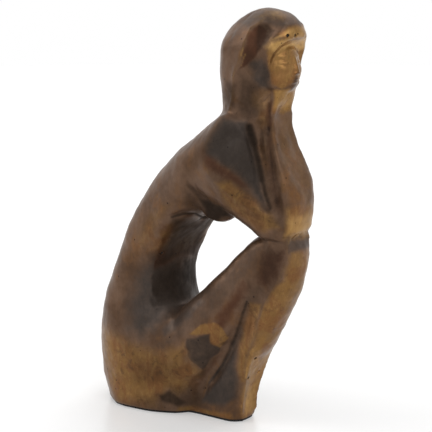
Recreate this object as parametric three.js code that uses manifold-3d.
// Bronze seated woman, chin in hands: hollow cast sections, doweled and brazed together,
// closed underneath by a plate with felt. Millimetres. +X is the way the figure faces,
// +Y is its left side, +Z is up, and z = 0 is what it stands on.
import * as THREE from "three";
import { mergeVertices } from "three/addons/utils/BufferGeometryUtils.js";
import Module from "manifold-3d";

const wasm = await Module();
wasm.setup();

// Castings and their joints
const WALL = 5; // bronze wall of the hollow sections
const SEAM = 0.8; // brazed filler between two sections
const GAP = 0.3; // clearance between neighbours
const REACH = 500; // longer than the figure in every direction

// A station of a form gives its step on (+X) and up (+Z) from the station before, or from where
// the form starts, then its half width and its half depth to the front and to the back
const BREADTH = 40; // half breadth of the figure, the same at the hips and the chest

// Trunk, from the ground under the figure's middle up to the throat;
// slim is how far each station lies inside the full breadth
const SEAT = { on: -68, up: -8, slim: 10, front: 47, back: 34 };
const BUTTOCK = { on: -1, up: 28, slim: 4, front: 53, back: 38 };
const HIP = { on: 0, up: 32, slim: 0, front: 50, back: 38 };
const FLANK = { on: 2, up: 32, slim: 3, front: 33, back: 32 };
const WAIST = { on: 7, up: 29, slim: 7, front: 23, back: 26 };
const RIBS = { on: 16, up: 33, slim: 4, front: 19, back: 26 };
const CHEST = { on: 26, up: 32, slim: 0, front: 24, back: 24 };
const SHOULDER = { on: 25, up: 25, slim: 2, front: 20, back: 19 };
const NECK = { on: 17, up: 18, slim: 7, front: 25, back: 15 };
const THROAT = { on: 11, up: 12, slim: 16, front: 17, back: 10 };

// Breasts, two ellipsoids under the arms, from the chest
const BREAST = { on: 26, y: 14, up: -14, deep: 17, wide: 12.5, tall: 15 };

// Thighs, one form from the hip to the knee: front is the underside
const LAP = { on: 9, up: -16, wide: 24, front: 20, back: 20 };
const GROIN = { on: 26, up: 11, wide: 31, front: 33, back: 26 };
const THIGH = { on: 30, up: 27, wide: 28, front: 30, back: 23 };
const MID_THIGH = { on: 29, up: 27, wide: 21, front: 22, back: 22 };
const LOW_THIGH = { on: 21, up: 21, wide: 17, front: 18, back: 22 };
const KNEE_TOP = { on: 12, up: 14, wide: 14, front: 12, back: 18 };

// Shins and feet, one form from the ground to the knee
const SOLE = { on: 6, up: -8, wide: 15, front: 17, back: 52 };
const FOOT = { on: 4, up: 30, wide: 15, front: 17, back: 52 };
const ANKLE = { on: 11, up: 28, wide: 15, front: 16, back: 40 };
const CALF = { on: 16, up: 35, wide: 16, front: 18, back: 24 };
const KNEE = { on: 15, up: 35, wide: 16, front: 19, back: 16 };
const KNEE_CAP = { on: 4, up: 30, wide: 13, front: 12, back: 10 };
const KNEE_SOLID = 31; // the knees are cast solid this far below the elbow joint

// Right upper arm, mirrored for the left, from the knee up: front is the upper side
const ELBOW_TIP = { on: 4, y: -8, up: -12, wide: 8, front: 9, back: 10 };
const ELBOW = { on: -10, y: -14, up: 20, wide: 11, front: 13, back: 16 };
const UPPER_ARM = { on: -15, y: -20, up: 17, wide: 13, front: 24, back: 21 };
// and from the shoulder down to the armpit, and back into the shoulder blade
const COLLAR = { on: 1, y: -19, up: -2, wide: 15, front: 21, back: 22 };
const ARMPIT = { on: 9, y: -25, up: -9, wide: 14, front: 36, back: 27 };
const BLADE = { on: -16, y: -11, up: -13, wide: 8, front: 6, back: 8 };

// Both forearms, one form parted down the median plane, from the knee up
const FOREARM_FOOT = { on: 2, up: -16, wide: 13, front: 9, back: 9 };
const LOW_FOREARM = { on: 2, up: 20, wide: 15.5, front: 11, back: 10 };
const MID_FOREARM = { on: -2, up: 24, wide: 17.5, front: 14, back: 10 };
// and from the locks of hair down
const PALM = { on: 14.5, up: 3, wide: 17, front: 11, back: 11 };
const WRIST = { on: -2, up: -22, wide: 14, front: 9, back: 9 };
const HIGH_FOREARM = { on: 4, up: -21, wide: 16, front: 9.5, back: 9 };
const HAND_GROOVE = { on: 11, y: 0, up: -2, deep: 9, wide: 2.2, tall: 26 }; // from the palms
const HAND_ON = 8.5; // the hands end against the hair, this far on from the middle of the locks

// Hair hood from the neck to the crown, domed on top
const NAPE_EDGE = { on: 5, up: -2, wide: 21, front: 14, back: 25 };
const NAPE = { on: 1, up: 10, wide: 22, front: 15, back: 26 };
const LOCKS = { on: 2.5, up: 16, wide: 25, front: 22, back: 29 };
const TEMPLE = { on: 2.5, up: 17, wide: 27.5, front: 31, back: 32 };
const BROW = { on: 3, up: 15, wide: 28, front: 31.5, back: 33 };
const CROWN = { on: 2.5, up: 14, wide: 26.5, front: 32, back: 32 };
const CROWN_TOP = { on: 1.5, up: 12, wide: 25, front: 30, back: 30 };
const CROWN_DOME = 34; // height over which the crown rounds off

// Face, from the temples: an oval set back in an opening of the hood
const HOOD_OPENING = { on: 39, y: 0, up: 0, deep: 25, wide: 30, tall: 26 };
const FACE = { on: 9, y: 0, up: -1, deep: 20, wide: 19, tall: 22 };

// Where the castings part, and the dowels across the joints;
// around gives the dowels' places in the wall, in radians from the front
const ELBOW_DROP = 7; // below the knee caps
const SHOULDER_CUT = { on: 18, up: -19, forwards: 0.73, down: 0.68 }; // from the shoulder
const WAIST_DOWEL = { radius: 1.3, length: 16, around: [1.25, 2.5, 3.78, 5.03] };
const NECK_DOWEL = { radius: 1.3, length: 12, around: [1.9, 3.14, 4.4] };
const SHOULDER_DOWEL = { radius: 3, length: 22 };
const ELBOW_DOWEL = { radius: 2.5, length: 24, apart: 14 };

// Plugs in the core-pin holes of the castings: height above the rim of the hood's opening,
// above the ground or above the waist, and radians from the front towards the left
const PLUG_RADIUS = 1;
const PLUG_REACH = 8;
const HAIR_PLUGS = {
  core_plug_brow_right: { up: 5.4, turn: -0.5 },
  core_plug_brow_middle: { up: 3, turn: -0.2 },
};
const SHIN_PLUGS = {
  core_plug_shin_right: { up: 56, turn: -0.5 },
  core_plug_ankle_left: { up: 42, turn: 0.25 },
  core_plug_ankle_right: { up: 40, turn: -0.5 },
};
const TRUNK_PLUGS = {
  core_plug_belly: { up: 15, turn: -0.75 },
};

// How each form is drawn: facets around and along it, and how square its section is, 2 being an ellipse
const TRUNK_STYLE = { around: 28, along: 24, square: 2.2 };
const TRUNK_CORE_STYLE = { around: 16, along: 14, square: 2.2 };
const LEG_STYLE = { around: 24, along: 12, square: 2.3 };
const SHIN_STYLE = { around: 24, along: 12, square: 2.7 };
const HAIR_STYLE = { around: 26, along: 15, square: 2, dome: CROWN_DOME };
const ARM_STYLE = { around: 18, along: 10, square: 2.2 };
const FOREARM_STYLE = { around: 24, along: 12, square: 3 };
const BALL_AROUND = 18;
const BALL_ALONG = 10;
const BAR_AROUND = 12;
const SCREW_AROUND = 20;
const CROSSING_STEP = 0.001; // fineness of the search for where a spine meets a plane

// Base: felt, a plate let into the open underside, and screws up into cast lugs
const FELT = 2;
const FELT_INSET = 1.5;
const PLATE = 2;
const LUG = { radius: 5.5, height: 14, bite: 2.5 }; // bite: how far a lug runs into the wall
const SCREW = { head: 3.6, shank: 1.75, length: 12 };

const across = new THREE.Vector3(0, 1, 0);
const upward = new THREE.Vector3(0, 0, 1);

function solidOf(geometry) {
  geometry.deleteAttribute("normal");
  geometry.deleteAttribute("uv");
  const merged = mergeVertices(geometry);
  const vertProperties = merged.attributes.position.array;
  const triVerts = new Uint32Array(merged.index.array);
  return new wasm.Manifold(new wasm.Mesh({ numProp: 3, vertProperties, triVerts }));
}

function placed(form, from) {
  const wide = form.wide ?? BREADTH - form.slim;
  return { ...form, wide, x: from.x + form.on, z: from.z + form.up };
}

// Stations with their places, each from the one before
function chain(from, steps) {
  const stations = {};
  let last = from;
  for (const [name, step] of Object.entries(steps)) {
    last = placed(step, last);
    stations[name] = last;
  }
  return stations;
}

function curvesOf(stations) {
  const places = stations.map((s) => new THREE.Vector3(s.x, s.y ?? 0, s.z));
  const sizes = stations.map((s) => new THREE.Vector3(s.wide, s.front, s.back));
  return { spine: new THREE.CatmullRomCurve3(places), girth: new THREE.CatmullRomCurve3(sizes) };
}

const superellipse = (c, square) => Math.sign(c) * Math.abs(c) ** (2 / square);

// A point of a limb's skin at t along its spine; sin and cos are those of the turn from its front
function skinPoint({ spine, girth }, { square, dome }, t, sin, cos, grow) {
  const tangent = spine.getTangent(t);
  const side = across.clone().addScaledVector(tangent, -across.dot(tangent)).normalize();
  const front = side.clone().cross(tangent);
  const size = girth.getPoint(t);
  const left = dome ? Math.max(0, 1 - spine.getPoint(t).distanceTo(spine.getPoint(1)) / dome) : 0;
  const shrink = Math.sqrt(1 - left * left);
  const skin = (half) => half * shrink + grow * Math.sqrt(shrink);
  const point = spine.getPoint(t).addScaledVector(tangent, grow * (2 * t - 1));
  point.addScaledVector(side, superellipse(sin, square) * skin(size.x));
  return point.addScaledVector(front, superellipse(cos, square) * skin(cos > 0 ? size.y : size.z));
}

// A limb: a closed tube through its stations, with a domed top if its style gives a dome
function limb(stations, style, grow) {
  const curves = curvesOf(stations);
  const tube = new THREE.CylinderGeometry(1, 1, 1, style.around, style.along);
  const place = tube.attributes.position;
  for (let i = 0; i < place.count; i++) {
    const even = place.getY(i) + 0.5;
    const t = style.dome ? Math.sin((even * Math.PI) / 2) : even;
    const p = skinPoint(curves, style, t, place.getX(i), place.getZ(i), grow);
    place.setXYZ(i, p.x, p.y, p.z);
  }
  return solidOf(tube);
}

// Where a limb's spine first crosses a plane
function crossing({ spine }, { point, normal }) {
  const side = (t) => spine.getPoint(t).sub(point).dot(normal);
  let t = CROSSING_STEP;
  while (t < 1 && side(t) * side(0) > 0) {
    t += CROSSING_STEP;
  }
  return t;
}

function ball({ x, y, z, deep, wide, tall }, grow = 0) {
  const sphere = new THREE.SphereGeometry(1, BALL_AROUND, BALL_ALONG);
  return solidOf(sphere.scale(deep + grow, wide + grow, tall + grow).translate(x, y, z));
}

function block(low, high) {
  const size = high.map((h, i) => h - low[i]);
  const middle = high.map((h, i) => (h + low[i]) / 2);
  return solidOf(new THREE.BoxGeometry(...size).translate(...middle));
}

// Everything past a plane, shifted along its normal
function past({ point, normal }, shift) {
  const box = new THREE.BoxGeometry(REACH, REACH, REACH).translate(0, 0, REACH / 2 + shift);
  const turn = new THREE.Quaternion().setFromUnitVectors(upward, normal);
  return solidOf(box.applyQuaternion(turn).translate(point.x, point.y, point.z));
}

// A round bar whose middle is at a point
function bar(middle, direction, radius, length) {
  const rod = new THREE.CylinderGeometry(radius, radius, length, BAR_AROUND);
  const turn = new THREE.Quaternion().setFromUnitVectors(across, direction.clone().normalize());
  return solidOf(rod.applyQuaternion(turn).translate(middle.x, middle.y, middle.z));
}

const join = (...solids) => solids.reduce((a, b) => a.add(b));
const cut = (solid, ...tools) => tools.reduce((a, b) => a.subtract(b), solid);
const mirrored = (stations) => stations.map((s) => ({ ...s, y: -s.y }));

// Stations of the forms
const foot = { x: 0, z: 0 };
const trunk = chain(foot, { SEAT, BUTTOCK, HIP, FLANK, WAIST, RIBS, CHEST, SHOULDER, NECK, THROAT });
const hair = chain(trunk.NECK, { NAPE_EDGE, NAPE, LOCKS, TEMPLE, BROW, CROWN, CROWN_TOP });
const thighs = chain(trunk.HIP, { LAP, GROIN, THIGH, MID_THIGH, LOW_THIGH, KNEE_TOP });
const shins = chain(foot, { SOLE, FOOT, ANKLE, CALF, KNEE, KNEE_CAP });
const lowArm = chain(shins.KNEE_CAP, { ELBOW_TIP, ELBOW, UPPER_ARM });
const highArm = chain(trunk.SHOULDER, { COLLAR, ARMPIT });
const blade = placed(BLADE, highArm.COLLAR);
const lowForearm = chain(shins.KNEE_CAP, { FOREARM_FOOT, LOW_FOREARM, MID_FOREARM });
const highForearm = chain(hair.LOCKS, { PALM, WRIST, HIGH_FOREARM });
const TRUNK = Object.values(trunk);
const HAIR = Object.values(hair);
const THIGHS = Object.values(thighs);
const SHINS = Object.values(shins);
const RIGHT_UPPER_ARM = [...Object.values(lowArm), highArm.ARMPIT, highArm.COLLAR, blade];
const FOREARMS = [...Object.values(lowForearm), ...Object.values(highForearm).reverse()];

// Forms of the figure; grow offsets the skin, so a negative grow makes the core of a hollow casting
const trunkForm = (grow) => limb(TRUNK, TRUNK_STYLE, grow);
const trunkCore = (grow) => limb(TRUNK, TRUNK_CORE_STYLE, grow);
const thighForm = (grow) => limb(THIGHS, LEG_STYLE, grow);
const shinForm = (grow) => limb(SHINS, SHIN_STYLE, grow);
const hairForm = (grow) => limb(HAIR, HAIR_STYLE, grow);
const rightUpperArm = (grow) => limb(RIGHT_UPPER_ARM, ARM_STYLE, grow);
const leftUpperArm = (grow) => limb(mirrored(RIGHT_UPPER_ARM), ARM_STYLE, grow);
const upperArmForms = (grow) => join(rightUpperArm(grow), leftUpperArm(grow));
const handGroove = ball(placed(HAND_GROOVE, highForearm.PALM));
const forearmForm = (grow) => limb(FOREARMS, FOREARM_STYLE, grow).subtract(handGroove);

// Planes where the castings part
const trunkCurves = curvesOf(TRUNK);
const shinCurves = curvesOf(SHINS);
const hairCurves = curvesOf(HAIR);
const waistAt = TRUNK.indexOf(trunk.WAIST) / (TRUNK.length - 1);
const neckAt = HAIR.indexOf(hair.NAPE) / (HAIR.length - 1);
const squareTo = ({ spine }, t) => ({ point: spine.getPoint(t), normal: spine.getTangent(t) });
const waist = squareTo(trunkCurves, waistAt);
const neck = squareTo(hairCurves, neckAt);
const shoulderCut = placed(SHOULDER_CUT, trunk.SHOULDER);
const shoulder = {
  point: new THREE.Vector3(shoulderCut.x, 0, shoulderCut.z),
  normal: new THREE.Vector3(SHOULDER_CUT.forwards, 0, -SHOULDER_CUT.down).normalize(),
};
const level = (z) => ({ point: new THREE.Vector3(0, 0, z), normal: upward });
const elbowZ = shins.KNEE_CAP.z - ELBOW_DROP;
const elbow = level(elbowZ);
const ground = level(FELT);
const median = { point: new THREE.Vector3(), normal: across };
const HALF = SEAM / 2 + GAP;
const above = (plane, solid, shift = HALF) => solid.intersect(past(plane, shift));
const below = (plane, solid, shift = HALF) => solid.subtract(past(plane, -shift));
const between = (plane, solid) => above(plane, below(plane, solid, -SEAM / 2), -SEAM / 2);

// Hair hood with room for the hands, and the arms against it
const handX = hair.LOCKS.x + HAND_ON;
const chinZ = hair.LOCKS.z;
const handRoom = (grow) => block([handX + grow, -REACH, 0], [REACH, REACH, chinZ - grow]);
const hoodForm = (grow) => hairForm(grow).subtract(handRoom(grow));
const overChin = block([-REACH, -REACH, chinZ - GAP], [REACH, REACH, REACH]);
const armsFrom = (shift, grow) => join(above(shoulder, upperArmForms(grow), shift), forearmForm(grow));
const armsShaped = cut(armsFrom(HALF, 0), hoodForm(GAP), overChin);
const armsFree = above(elbow, armsShaped);
const rightSide = (solid) => below(median, solid, GAP / 2);
const leftSide = (solid) => above(median, solid, GAP / 2);

// Lower body: seat, thighs, shins and feet, hollow and open underneath, with lugs for the base screws
function lugAt(curves, style, turn) {
  const t = crossing(curves, level(FELT + PLATE + LUG.height / 2));
  const wall = skinPoint(curves, style, t, Math.sin(turn), Math.cos(turn), -WALL);
  const inward = curves.spine.getPoint(t).sub(wall).normalize();
  return wall.addScaledVector(inward, LUG.radius - LUG.bite).setZ(FELT + PLATE + LUG.height / 2);
}
const lugPlaces = {
  right: lugAt(trunkCurves, TRUNK_STYLE, -Math.PI / 2),
  left: lugAt(trunkCurves, TRUNK_STYLE, Math.PI / 2),
  front: lugAt(shinCurves, SHIN_STYLE, 0),
};
const lugBars = Object.values(lugPlaces).map((place) => bar(place, upward, LUG.radius, LUG.height));
const lugs = join(...lugBars);
const lowerForms = join(below(waist, trunkForm(0)), thighForm(0), shinForm(0));
const lowerSkin = below(elbow, above(ground, lowerForms, 0));
const kneeSolid = block([-REACH, -REACH, elbowZ - KNEE_SOLID], [REACH, REACH, REACH]);
const legCore = join(thighForm(-WALL), shinForm(-WALL)).subtract(kneeSolid);
const lowerShell = cut(lowerSkin, trunkCore(-WALL), legCore).add(lugs.intersect(lowerSkin));

// Torso: back, belly, breasts, shoulders and the nape under the hair, open at waist and neck
const breast = placed(BREAST, trunk.CHEST);
const breasts = join(ball(breast), ball({ ...breast, y: -breast.y }));
const torsoSkin = join(above(waist, trunkForm(0)), breasts, upperArmForms(0), hoodForm(0));
const napeCore = hairForm(-WALL).subtract(handRoom(-WALL));
const torsoCore = join(trunkCore(-WALL), napeCore).subtract(armsFrom(-HALF - WALL, WALL));
const torsoShell = below(neck, above(waist, cut(torsoSkin, armsFrom(-HALF, GAP), torsoCore)));

// Head: hood and face, hollow and open at the neck
const opening = placed(HOOD_OPENING, hair.TEMPLE);
const face = ball(placed(FACE, hair.TEMPLE)).subtract(handRoom(0));
const headSkin = hoodForm(0).subtract(ball(opening)).add(face);
const headCore = cut(hairForm(-WALL), ball(opening, WALL), handRoom(-WALL));
const headShell = above(neck, headSkin.subtract(headCore));

// Nodes are set so that the origin lies under the middle of the figure's length
const statue = new THREE.Group();
const rearX = lowerShell.boundingBox().min[0];
const frontX = Math.max(lowerShell.boundingBox().max[0], armsFree.boundingBox().max[0]);
function addNode(name, solid, finish) {
  const { vertProperties, triVerts } = solid.getMesh();
  const geometry = new THREE.BufferGeometry();
  geometry.setAttribute("position", new THREE.BufferAttribute(vertProperties, 3));
  geometry.setIndex(new THREE.BufferAttribute(triVerts, 1));
  geometry.translate(-(rearX + frontX) / 2, 0, 0);
  const mesh = new THREE.Mesh(geometry, new THREE.MeshStandardMaterial(finish));
  mesh.name = name;
  statue.add(mesh);
}

const bronze = { color: 0x5e432c, roughness: 0.45, metalness: 0.9 };
const braze = { color: 0xc39a4e, roughness: 0.35, metalness: 0.95 };
const dowelRod = { color: 0x8c6c3c, roughness: 0.5, metalness: 0.9 };
const plug = { color: 0x2e2119, roughness: 0.6, metalness: 0.8 };
const steel = { color: 0x9a978f, roughness: 0.4, metalness: 0.9 };
const felt = { color: 0x1f1d1c, roughness: 1, metalness: 0 };

// Dowels, with their holes
const dowels = {};
const holes = [];
function addDowel(name, middle, direction, { radius, length }) {
  dowels[name] = bar(middle, direction, radius, length);
  holes.push(bar(middle, direction, radius + GAP, length + 2 * GAP));
}
function addWallDowels(name, curves, style, t, dowel) {
  dowel.around.forEach((turn, i) => {
    const middle = skinPoint(curves, style, t, Math.sin(turn), Math.cos(turn), -WALL / 2);
    addDowel(`${name}_dowel_${i + 1}`, middle, curves.spine.getTangent(t), dowel);
  });
}
addWallDowels("waist", trunkCurves, TRUNK_STYLE, waistAt, WAIST_DOWEL);
addWallDowels("neck", hairCurves, HAIR_STYLE, neckAt, NECK_DOWEL);
const armCurves = curvesOf(RIGHT_UPPER_ARM);
const forearmCurves = curvesOf(FOREARMS);
const shoulderAt = armCurves.spine.getPoint(crossing(armCurves, shoulder));
const elbowAt = forearmCurves.spine.getPoint(crossing(forearmCurves, elbow));
for (const [side, sign] of [["right", 1], ["left", -1]]) {
  const inShoulder = shoulderAt.clone().setY(sign * shoulderAt.y);
  const inElbow = elbowAt.clone().setY((-sign * ELBOW_DOWEL.apart) / 2);
  addDowel(`${side}_shoulder_dowel`, inShoulder, shoulder.normal, SHOULDER_DOWEL);
  addDowel(`${side}_elbow_dowel`, inElbow, upward, ELBOW_DOWEL);
}
const drilled = (solid) => cut(solid, ...holes);

// Height of the rim of the hood's opening over the face, at a turn from the front
function rimZ(turn) {
  const skinAt = (t) => skinPoint(hairCurves, HAIR_STYLE, t, Math.sin(turn), Math.cos(turn), 0);
  const radii = new THREE.Vector3(opening.deep, opening.wide, opening.tall);
  const middle = new THREE.Vector3(opening.x, opening.y, opening.z);
  let t = crossing(hairCurves, level(opening.z));
  while (t < 1 && skinAt(t).sub(middle).divide(radii).length() < 1) {
    t += CROSSING_STEP;
  }
  return skinAt(t).z;
}

// Plugs, each filling its hole through the casting wall
function addPlugs(shell, curves, style, zFrom, plugs) {
  let pierced = shell;
  for (const [name, { up, turn }] of Object.entries(plugs)) {
    const t = crossing(curves, level(zFrom(turn) + up));
    const skin = skinPoint(curves, style, t, Math.sin(turn), Math.cos(turn), 0);
    const out = skin.clone().sub(curves.spine.getPoint(t));
    addNode(name, bar(skin, out, PLUG_RADIUS, 2 * PLUG_REACH).intersect(shell), plug);
    pierced = pierced.subtract(bar(skin, out, PLUG_RADIUS + GAP, 2 * PLUG_REACH));
  }
  return pierced;
}

// Base screws, countersunk from below
function screw({ x, y }, grow) {
  const outline = [
    [0, 0], [SCREW.head + grow, 0], [SCREW.shank + grow, SCREW.head - SCREW.shank],
    [SCREW.shank + grow, SCREW.length + grow], [0, SCREW.length + grow],
  ];
  const turned = new THREE.LatheGeometry(outline.map(([r, h]) => new THREE.Vector2(r, h)), SCREW_AROUND);
  return solidOf(turned.rotateX(Math.PI / 2).translate(x, y, FELT));
}
const screwHoles = Object.values(lugPlaces).map((place) => screw(place, GAP));
const slice = (solid, low, high) => solid.intersect(block([-REACH, -REACH, low], [REACH, REACH, high]));

const lowerPlugged = addPlugs(lowerShell, shinCurves, SHIN_STYLE, () => foot.z, SHIN_PLUGS);
const torsoPlugged = addPlugs(torsoShell, trunkCurves, TRUNK_STYLE, () => trunk.WAIST.z, TRUNK_PLUGS);
const headPlugged = addPlugs(headShell, hairCurves, HAIR_STYLE, rimZ, HAIR_PLUGS);
addNode("lower_body_casting", cut(drilled(lowerPlugged), ...screwHoles), bronze);
addNode("torso_casting", drilled(torsoPlugged), bronze);
addNode("head_casting", drilled(headPlugged), bronze);
addNode("right_arm_casting", drilled(rightSide(armsFree)), bronze);
addNode("left_arm_casting", drilled(leftSide(armsFree)), bronze);
for (const [name, solid] of Object.entries(dowels)) {
  addNode(name, solid, dowelRod);
}
addNode("waist_seam", drilled(between(waist, trunkForm(0).subtract(trunkCore(-WALL)))), braze);
addNode("neck_seam", drilled(between(neck, hoodForm(0).subtract(headCore))), braze);
const shoulderSeams = between(shoulder, upperArmForms(0).subtract(forearmForm(GAP)));
addNode("right_shoulder_seam", drilled(rightSide(shoulderSeams)), braze);
addNode("left_shoulder_seam", drilled(leftSide(shoulderSeams)), braze);
const elbowSeams = between(elbow, armsShaped);
addNode("right_elbow_seam", drilled(rightSide(elbowSeams)), braze);
addNode("left_elbow_seam", drilled(leftSide(elbowSeams)), braze);
const plateForm = join(trunkCore(-WALL - GAP), shinForm(-WALL - GAP));
addNode("base_plate", cut(slice(plateForm, FELT, FELT + PLATE), ...screwHoles), steel);
for (const [side, place] of Object.entries(lugPlaces)) {
  addNode(`base_screw_${side}`, screw(place, 0), steel);
}
addNode("felt_pad", slice(join(trunkForm(-FELT_INSET), shinForm(-FELT_INSET)), 0, FELT), felt);
export default statue;
